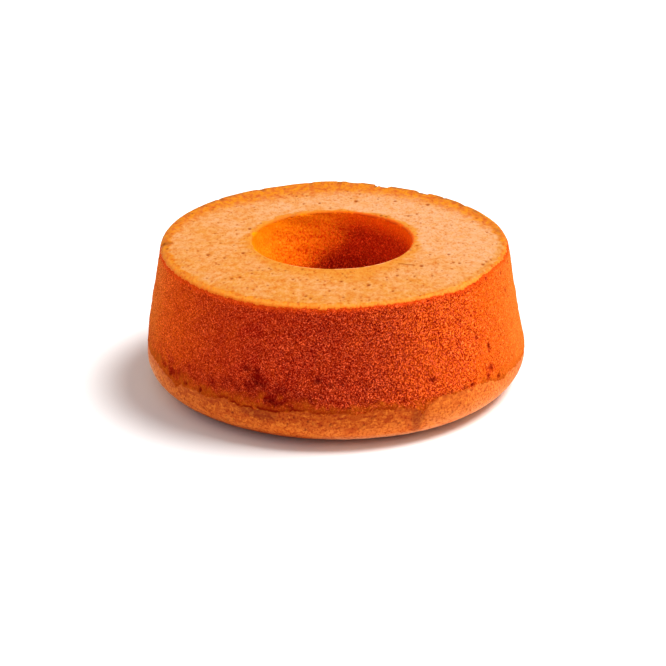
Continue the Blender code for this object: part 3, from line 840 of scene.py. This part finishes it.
def footPiece():
    f = footCrust
    degrees = evenRing(f["columns"])
    here = marksAt(f, degrees)
    edge = outline.sideAt(seamHeight(degrees))
    curlIn, curlDown = np.array(seams["edgeCurl"]).T[..., None] * f["thickness"]
    # the edge curls down deepest where the crumb's seam gapes
    gape = ease(-0.4, 0.05, noiseAt(outline.ring(edge, degrees)[0], 3.6 * mm, 17.0))
    gape = roundTheRing(crumb["gape"], degrees) * gape
    curlDown = curlDown * (0.18 + 0.82 * gape)
    # the path starts in the bore, runs under the cake and ends at the seam
    boreStart = outline.at["end"] - section["boreFootRounding"] * math.radians(f["boreRise"])
    boreAlong = boreStart + (outline.at["end"] - boreStart) * shares(f["boreRows"])
    flatAlong = outline.at["rest"] * shares(f["flatRows"] + 2)[1:-1]
    last = edge - curlIn[::-1]
    bandAlong = outline.at["rest"] + (last[:1] - outline.at["rest"]) * shares(f["bandRows"])[:-1]
    along = np.concatenate((boreAlong + 0 * degrees, flatAlong + 0 * degrees, bandAlong, last))
    flat = np.zeros((along.shape[0] - len(curlDown), 1)) + 0 * degrees
    below = np.concatenate((flat, curlDown[::-1]))
    points, normals = outline.ring(along, degrees)
    height = points[..., 2]

    offFloor = np.clip(height / (3 * mm), 0, 1) * (radiusOf(points) > unevenness["insideBore"])
    sunk = f["sunk"] * ease(section["bulgeHeight"] - 4 * mm, section["bulgeHeight"] + 5 * mm, height)
    pit = np.zeros(height.shape)
    for angle, level, width in allPits():
        across = np.radians(turnFrom(angle, degrees)) * section["bulgeRadius"]
        near = np.hypot(across, outline.sideAt(level * mm) - along)
        strength = min(1.0, width - 0.5)
        pit = np.maximum(pit, strength * fade(0.25, 1.1, near / (width * mm / 2)))
    pit = pit * offFloor
    toCrease = np.radians(turnFrom(f["creaseAngle"], degrees)) * section["bulgeRadius"]
    crease = bell(toCrease - 0.8 * mm * noiseAt(points, 4 * mm), 0.8 * mm) * ease(13 * mm, 16 * mm, height)
    curl = bell(height - f["curlHeight"], 2.2 * mm) * here["curl"]
    shade = 1 - 0.5 * ease(3.5 * mm, 6 * mm, height) - 0.5 * ease(6 * mm, 10 * mm, height)
    sleek = np.zeros(height.shape)
    for angle, level, width, tall in f["sleekPlaces"]:
        across = np.radians(turnFrom(angle, degrees)) * section["bulgeRadius"] / (width * mm / 2)
        away = np.hypot(across, (height - level * mm) / (tall * mm / 2))
        sleek = np.maximum(sleek, fade(0.5, 1.2, away * (1 + 0.4 * noiseAt(points, 6 * mm, 44.0))))
    inset = below + sunk + f["pitDepth"] * pit
    inset += f["creaseDepth"] * crease * offFloor - f["curlOut"] * curl * offFloor
    inset += offFloor * f["dimple"] * noiseAt(points, f["dimpleSize"], 18.0)
    inset += offFloor * f["pucker"] * (1 - sleek) * noiseAt(points, f["puckerSize"], 16.0)
    toEdge = edge - along
    lifted = bell(toEdge, 2.0 * mm) * np.maximum(noiseAt(points, 6 * mm, 26.0), 0)
    inset -= 0.2 * mm * lifted * offFloor
    frayed = bell(np.maximum(toEdge, 0), 2.2 * mm) * offFloor * here["fray"]
    pale = np.clip(here["pale"] + 0.2 * noiseAt(points, 12 * mm, 73.0), 0, 1)
    leftEnd = fade(-162, -148, degrees)
    marks = {
        # the burst bubbles are dark brown, and the crease is darkened half as much, as painted shade
        "pit": np.maximum(pit, 0.5 * crease * offFloor),
        "edge": frayed * ease(-0.25, 0.3, noiseAt(points, 2.6 * mm, 71.0)),
        "torn": ease(0.3, 1.6, below / f["thickness"]),
        "shade": shade * here["shade"] * offFloor,
        # painted light thrown up from the floor: lighter toward the bottom
        "low": fade(7 * mm, 21 * mm, height + 2.5 * mm * noiseAt(points, 9 * mm, 72.0)),
        "sleek": sleek,
        "curl": curl * offFloor,
        "pale": pale,
        # a painted reflection of the floor, low on the paler parts of the foot and higher at the far left
        "blush": 0.85 * fade(5 * mm, 13 * mm, height - 7 * mm * leftEnd) * np.maximum(2 * pale - 1, 0),
    }
    points = settled(points, normals, degrees) - normals * inset[..., None]
    return ringPiece("foot_crust", points, True, 4, marks)


def footCrustMaterial():
    # Batter that rose past the tin and set in the open oven: a soft, smooth, slightly leathery crust,
    # tan orange, a little glossier than the crumb, browner where it is torn at the seam.
    finish = Finish("risen chiffon crust", 0.12)
    finish["flatSpot"] = finish.add("Mapping", "Vector", Vector="spot", Scale=(1, 1, 2.2))
    noises = (
        ("streak", "flatSpot", 7, 3), ("cloud", "flatSpot", 3.6, 2), ("stipple", "spot", 1.3, 2),
        ("pepper", "spot", 1.8, 0),
    )
    ranges = (
        ("brown", "streak", 0.48, 0.66, 0.55), ("bright", "cloud", 0.5, 0.68, 0.8),
        ("dull", "cloud", 0.48, 0.3, 0.6), ("grain", "stipple", 0.5, 0.64, 0.9),
        ("spots", "pepper", 0.64, 0.76, 0.5),
    )
    finish.pattern(noises, ranges, Roughness=0.6)
    layers = (
        ("pale", "#E47E30"), ("low", "lowTint"), ("blush", "#FFC496"), ("brown", "#E2B484", "MULTIPLY"),
        ("bright", "#EE8C34"), ("dull", "#E8C09C", "MULTIPLY"), ("sleek", "#D6C8C2", "MULTIPLY"),
        ("shade", "#BC7C58", "MULTIPLY"), ("curl", "#FFC49C"), ("grain", "#DCAA6C", "MULTIPLY"),
        ("spots", "#CC9048", "MULTIPLY"), ("edge", "#B44E12"), ("torn", "#8C2C04"), ("pit", "#842C06"),
    )
    tints = (("lowTint", "pale", "#EC8432", "#FCA45E"),)
    return finish.lay("#C45A14", layers, "stipple", (0.42, 0.66), (0.5, 0.2 * mm), tints)


# The crumb of the bore
boreCrumb = {
    "columns": 560,
    "rows": 132,
    "underTop": 0.6 * mm,  # the top crust ends this far past where it starts
    "underFoot": 40,  # it ends this far down the foot rounding, in degrees
    "poreSize": 1.6 * mm,
    "poreDepth": 0.4 * mm,
    "poreSway": 0.5,  # in mm
    "swaySize": 2.6 * mm,
    "poreStretch": (1, 1, 0.7),  # the tube drew them taller
    "grain": 0.1 * mm,
    "grainSize": 0.95 * mm,
    # painted shading: bright orange on the left, where light falls, and deep red brown on the right, painted
    # shade where the bore lies in shadow
    "baked": {-175: 0, -130: 0.1, -90: 0.5, -40: 1, 50: 1, 70: 1, 79: 0.7, 87: 0.34, 95: 0.12, 104: 0},
    "bakedSlant": 1450,  # the painted shadow's deep colour reaches further left as the bore goes down, in degrees a metre
    "slantTop": 69 * mm,  # from this height, and this far down
    "slantReach": 30 * mm,
    # how open the crumb is: smooth on the left
    "open": {-180: 0.35, -140: 0.4, -90: 0.9, 0: 0.8, 60: 0.9, 95: 1.2, 125: 0.95, 150: 0.5},
}


def borePiece():
    b = boreCrumb
    degrees = evenRing(b["columns"])
    low = outline.at["boreFoot"] + section["boreFootRounding"] * math.radians(b["underFoot"])
    high = outline.at["lip"] + b["underTop"]
    along = high + (low - high) * shares(b["rows"]) + 0 * degrees
    points, normals = outline.ring(along, degrees)
    height = points[..., 2]
    sway = swayAt(points, b["swaySize"])
    wall, _, luck = cellsAt((points + sway * b["poreSway"] * mm) * b["poreStretch"], b["poreSize"])
    pore = ease(0.05, 0.4, wall) * (0.4 + 0.6 * luck)
    underTop = fade(0.5 * mm, 3.2 * mm, along - outline.at["lip"])
    underFoot = ease(-3 * mm, 0.5 * mm, along - outline.at["boreFoot"])
    # near the mouth the crumb is smoother, and its painted shade turns lighter, as painted light
    mouth = ease(72 * mm, 86 * mm, height)
    opened = roundTheRing(b["open"], degrees) * (1 - 0.5 * mouth)
    inset = b["poreDepth"] * pore * opened + 0.2 * mm * underTop + 0.25 * mm * underFoot
    inset += b["grain"] * opened * noiseAt(points, b["grainSize"], 4.0)
    slant = b["bakedSlant"] * np.clip(b["slantTop"] - height, 0, b["slantReach"]) * (degrees > 0)
    baked = np.clip(roundTheRing(b["baked"], degrees - slant), 0, 1)
    baked = baked + 0.8 * baked * (1 - baked) * noiseAt(points, 9 * mm, 81.0)
    # painted shade that deepens further down the bore
    deep = fade(52 * mm, 68 * mm, height) * baked
    marks = {"pore": pore * opened, "open": opened, "mouth": mouth, "baked": baked, "deep": deep}
    points = settled(points, normals, degrees, 0.8) - normals * inset[..., None]
    return ringPiece("bore_crumb", points, True, 2, marks)


def boreCrumbMaterial():
    # Crumb torn by the tin's tube, finer and more even than the side's, painted bright orange where light
    # reaches and deep red brown where shade falls, with painted highlights on the walls between its pores.
    finish = Finish("tube-torn chiffon crumb", 0.02)
    # its walls are drawn as coarse as the side's, at 1 mm, so that they show
    noises = (("grain", "spot", 1.2, 1), ("fleck", "spot", 1, 1), ("patch", "spot", 8, 2))
    ranges = (
        ("drift", "patch", 0.5, 0.75, 0.5), ("dark", "grain", 0.52, 0.28, 1),
        ("light", "grain", 0.52, 0.72, 1), ("spark", "fleck", 0.56, 0.74, 1),
    )
    products = [(name, "open") for name in ("dark", "light", "spark")]
    finish.pattern(noises, ranges, products, Roughness=0.55, Distortion=0.8)
    layers = (
        ("mouth", "#F68E08"), ("drift", "#FF860E"), ("baked", "bakedTint"), ("deep", "#D8D0DC", "MULTIPLY"),
        ("pore", "#FCCC90", "MULTIPLY"), ("dark", "#F0A054", "MULTIPLY"), ("light", "#A04E2C", "ADD"),
        ("spark", "#984A2C", "ADD"),
    )
    tints = (("bakedTint", "mouth", "#B4380A", "#F87008"),)
    return finish.lay("#FF9A14", layers, "grain", (0.68, 0.9), (0.6, 0.3 * mm), tints)


tornCrumb = tornCrumbMaterial()
for pieceName, start, end in (("side_crumb_front", -180, 0), ("side_crumb_back", 0, 180)):
    dress(crumbHalf(pieceName, start, end), tornCrumb)
print("side crumb made")
for stage, piece, material in (("top crust", topPiece, topCrustMaterial),
                               ("foot crust", footPiece, footCrustMaterial),
                               ("bore crumb", borePiece, boreCrumbMaterial)):
    dress(piece(), material())
    print(stage, "made")


# Floor, light and camera
studio = {
    "floorHalf": 5.0,
    "floorDrop": 0.1 * mm,  # below the cake's underside
    "floorColour": "#F2F0EF",
    "floorRoughness": 0.85,
    "floorShine": 0.2,
    # each light: angle round the cake, angle up, strength and softness
    "lights": {"key": (18, 59, 3.6, 32), "fill": (200, 30, 0.4, 70)},
    "skyColour": "#FFFFFF",
    "skyStrength": 0.4,
}
camera = {
    "distance": 1120.7 * mm,  # along the floor
    "height": 512 * mm,
    "aside": -0.95 * mm,
    "tiltDown": 23.55,
    "focal": 105.27,
    "sensor": 36.0,
}


def addToScene(name, data):
    thing = bpy.data.objects.new(name, data)
    scene.collection.objects.link(thing)
    return thing


def floorPiece():
    half, low = studio["floorHalf"], -studio["floorDrop"]
    mesh = bpy.data.meshes.new("floor")
    corners = [(-half, -half, low), (half, -half, low), (half, half, low), (-half, half, low)]
    mesh.from_pydata(corners, [], [(0, 1, 2, 3)])
    board = bpy.data.materials.new("matt white studio board")
    board.use_nodes = True
    surface = board.node_tree.nodes["Principled BSDF"]
    surface.inputs["Base Color"].default_value = hexColour(studio["floorColour"])
    surface.inputs["Roughness"].default_value = studio["floorRoughness"]
    surface.inputs["Specular IOR Level"].default_value = studio["floorShine"]
    mesh.materials.append(board)
    return addToScene("floor", mesh)


floorPiece()
for name, (angle, rise, strength, softness) in studio["lights"].items():
    lamp = bpy.data.lights.new(name, "SUN")
    lamp.energy = strength
    lamp.angle = math.radians(softness)
    addToScene(name, lamp).rotation_euler = (0, math.radians(90 - rise), math.radians(angle))
world = bpy.data.worlds.new("studio")
world.use_nodes = True
sky = world.node_tree.nodes["Background"]
sky.inputs["Color"].default_value = hexColour(studio["skyColour"])
sky.inputs["Strength"].default_value = studio["skyStrength"]
scene.world = world

lens = bpy.data.cameras.new("camera")
lens.lens = camera["focal"]
lens.sensor_width = camera["sensor"]
lens.sensor_fit = "HORIZONTAL"
viewer = addToScene("camera", lens)
viewer.location = (camera["aside"], -camera["distance"], camera["height"])
viewer.rotation_euler = (math.radians(90 - camera["tiltDown"]), 0, 0)
scene.camera = viewer
scene.view_settings.view_transform = "Standard"
scene.view_settings.look = "Medium High Contrast"
print("floor, light and camera made")
